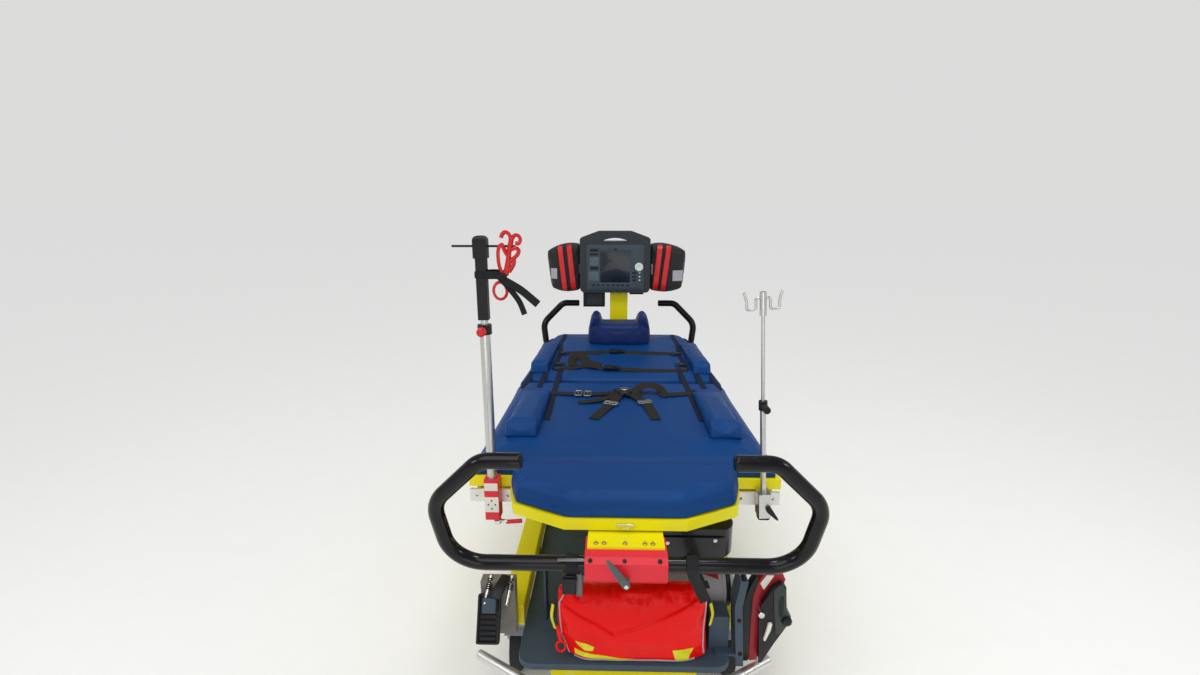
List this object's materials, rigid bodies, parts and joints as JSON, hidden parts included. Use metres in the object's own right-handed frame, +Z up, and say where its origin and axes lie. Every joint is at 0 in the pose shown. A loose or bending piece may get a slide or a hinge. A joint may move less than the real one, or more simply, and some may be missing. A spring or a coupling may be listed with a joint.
{
  "type": "ambulance stretcher trolley",
  "caption": "Heavy-duty intensive care stretcher trolley on swivel casters, with a lifting deck, folding back section, push handles, infusion poles, monitor and equipment platform.",
  "frame": {"origin": "on the floor, below the middle of the trolley's bounding box", "axes": "+Z up, +Y from the foot end to the head end, +X to the right as seen from the foot end"},
  "size_m": [0.9444, 2.1481, 1.4209],
  "materials": {
    "yellow_paint": "powder coat, satin",
    "slate_paint": "textured powder coat",
    "stainless_steel": "brushed",
    "anodised_aluminium": "anodised",
    "rail_aluminium": "fine blasted, anodised",
    "caster_grey": "satin paint",
    "wheel_grey": "moulded",
    "tyre_rubber": "grey-black rubber",
    "blue_vinyl": "wipe-clean vinyl with fine grain",
    "black_webbing": "woven webbing",
    "black_gloss": "gloss coat",
    "red_paint": "anodised red, satin",
    "lever_grey": "moulded",
    "black_plastic": "moulded, fine grain",
    "monitor_plastic": "moulded, fine grain",
    "pouch_fabric": "coated nylon",
    "red_tarpaulin": "glossy coated tarpaulin",
    "cylinder_paint": "satin paint",
    "unit_red": "moulded, satin"
  },
  "bodies": {
    "base": {"base_frame": "yellow_paint", "platform": "slate_paint", "bumpers": "rail_aluminium", "column_outer": "anodised_aluminium", "gas_cylinder": "cylinder_paint", "platform_brackets": "slate_paint", "unit_frame": "unit_red", "unit_body": "black_plastic", "pedal_housings": "caster_grey", "foot_pedals": "black_plastic"},
    "lift_stage": {"column_middle": "anodised_aluminium"},
    "deck": {"column_inner": "anodised_aluminium", "deck_beams": "yellow_paint", "deck_arms": "yellow_paint", "foot_panel": "yellow_paint", "seat_panel": "yellow_paint", "back_hinge": "stainless_steel", "mattress_foot": "blue_vinyl", "mattress_seat": "blue_vinyl", "hip_pads": "blue_vinyl", "hip_harness": "black_webbing", "clamp_blocks": "red_paint", "clamp_levers": "lever_grey", "bar_plates": "yellow_paint", "equipment_rails": "rail_aluminium", "drive_housing": "black_plastic", "pole_clamp_left": "red_paint", "pole_clamp_right": "stainless_steel", "pole_tubes": "stainless_steel", "pole_collars": "black_plastic", "monitor_column": "yellow_paint", "monitor": "monitor_plastic", "monitor_pouches": "pouch_fabric", "equipment_bag": "red_tarpaulin", "bag_straps": "black_webbing"},
    "back_section": {"back_panel": "yellow_paint", "mattress_back": "blue_vinyl", "shoulder_pads": "blue_vinyl", "headrest": "blue_vinyl", "chest_straps": "black_webbing"},
    "handle_foot": {"push_handle_foot": "black_gloss"},
    "handle_head": {"push_handle_head": "black_gloss"},
    "pole_left": {"pole_rod_left": "stainless_steel", "pole_head_left": "black_plastic"},
    "pole_right": {"pole_rod_right": "stainless_steel", "pole_head_right": "stainless_steel"},
    "caster_foot_left": {"fork_foot_left": "caster_grey"},
    "wheel_foot_left": {"rim_foot_left": "wheel_grey", "tyre_foot_left": "tyre_rubber"},
    "caster_foot_right": {"fork_foot_right": "caster_grey"},
    "wheel_foot_right": {"rim_foot_right": "wheel_grey", "tyre_foot_right": "tyre_rubber"},
    "caster_head_left": {"fork_head_left": "caster_grey"},
    "wheel_head_left": {"rim_head_left": "wheel_grey", "tyre_head_left": "tyre_rubber"},
    "caster_head_right": {"fork_head_right": "caster_grey"},
    "wheel_head_right": {"rim_head_right": "wheel_grey", "tyre_head_right": "tyre_rubber"}
  },
  "joints": [
    {"name": "lift", "type": "slide", "parent": "base", "child": "deck", "axis": [0, 0, 1], "range_m": [0, 0.2]},
    {"name": "lift_stage_slide", "type": "slide", "parent": "base", "child": "lift_stage", "axis": [0, 0, 1], "range_m": [0, 0.1]},
    {"name": "back_lift", "type": "hinge", "parent": "deck", "child": "back_section", "pos_m": [0, 0.03, 0.735], "axis": [1, 0, 0], "range_deg": [0, 70]},
    {"name": "foot_handle_fold", "type": "hinge", "parent": "deck", "child": "handle_foot", "pos_m": [0, -1, 0.63], "axis": [1, 0, 0], "range_deg": [0, 90]},
    {"name": "head_handle_fold", "type": "hinge", "parent": "deck", "child": "handle_head", "pos_m": [0, 1, 0.63], "axis": [-1, 0, 0], "range_deg": [0, 90]},
    {"name": "left_pole_slide", "type": "slide", "parent": "deck", "child": "pole_left", "axis": [0, 0, 1], "range_m": [0, 0.4]},
    {"name": "right_pole_slide", "type": "slide", "parent": "deck", "child": "pole_right", "axis": [-0.0698, 0, 0.9976], "range_m": [0, 0.2]},
    {"name": "swivel_foot_left", "type": "hinge", "parent": "base", "child": "caster_foot_left", "pos_m": [-0.34, -0.7, 0.22], "axis": [0, 0, 1], "continuous": true},
    {"name": "roll_foot_left", "type": "hinge", "parent": "caster_foot_left", "child": "wheel_foot_left", "pos_m": [-0.34, -0.662, 0.1], "axis": [1, 0, 0], "continuous": true},
    {"name": "swivel_foot_right", "type": "hinge", "parent": "base", "child": "caster_foot_right", "pos_m": [0.34, -0.7, 0.22], "axis": [0, 0, 1], "continuous": true},
    {"name": "roll_foot_right", "type": "hinge", "parent": "caster_foot_right", "child": "wheel_foot_right", "pos_m": [0.34, -0.662, 0.1], "axis": [1, 0, 0], "continuous": true},
    {"name": "swivel_head_left", "type": "hinge", "parent": "base", "child": "caster_head_left", "pos_m": [-0.34, 0.7, 0.22], "axis": [0, 0, 1], "continuous": true},
    {"name": "roll_head_left", "type": "hinge", "parent": "caster_head_left", "child": "wheel_head_left", "pos_m": [-0.34, 0.738, 0.1], "axis": [1, 0, 0], "continuous": true},
    {"name": "swivel_head_right", "type": "hinge", "parent": "base", "child": "caster_head_right", "pos_m": [0.34, 0.7, 0.22], "axis": [0, 0, 1], "continuous": true},
    {"name": "roll_head_right", "type": "hinge", "parent": "caster_head_right", "child": "wheel_head_right", "pos_m": [0.34, 0.738, 0.1], "axis": [1, 0, 0], "continuous": true}
  ],
  "couplings": [
    {"joint": "lift_stage_slide", "follows": "lift", "ratio": 0.5}
  ]
}
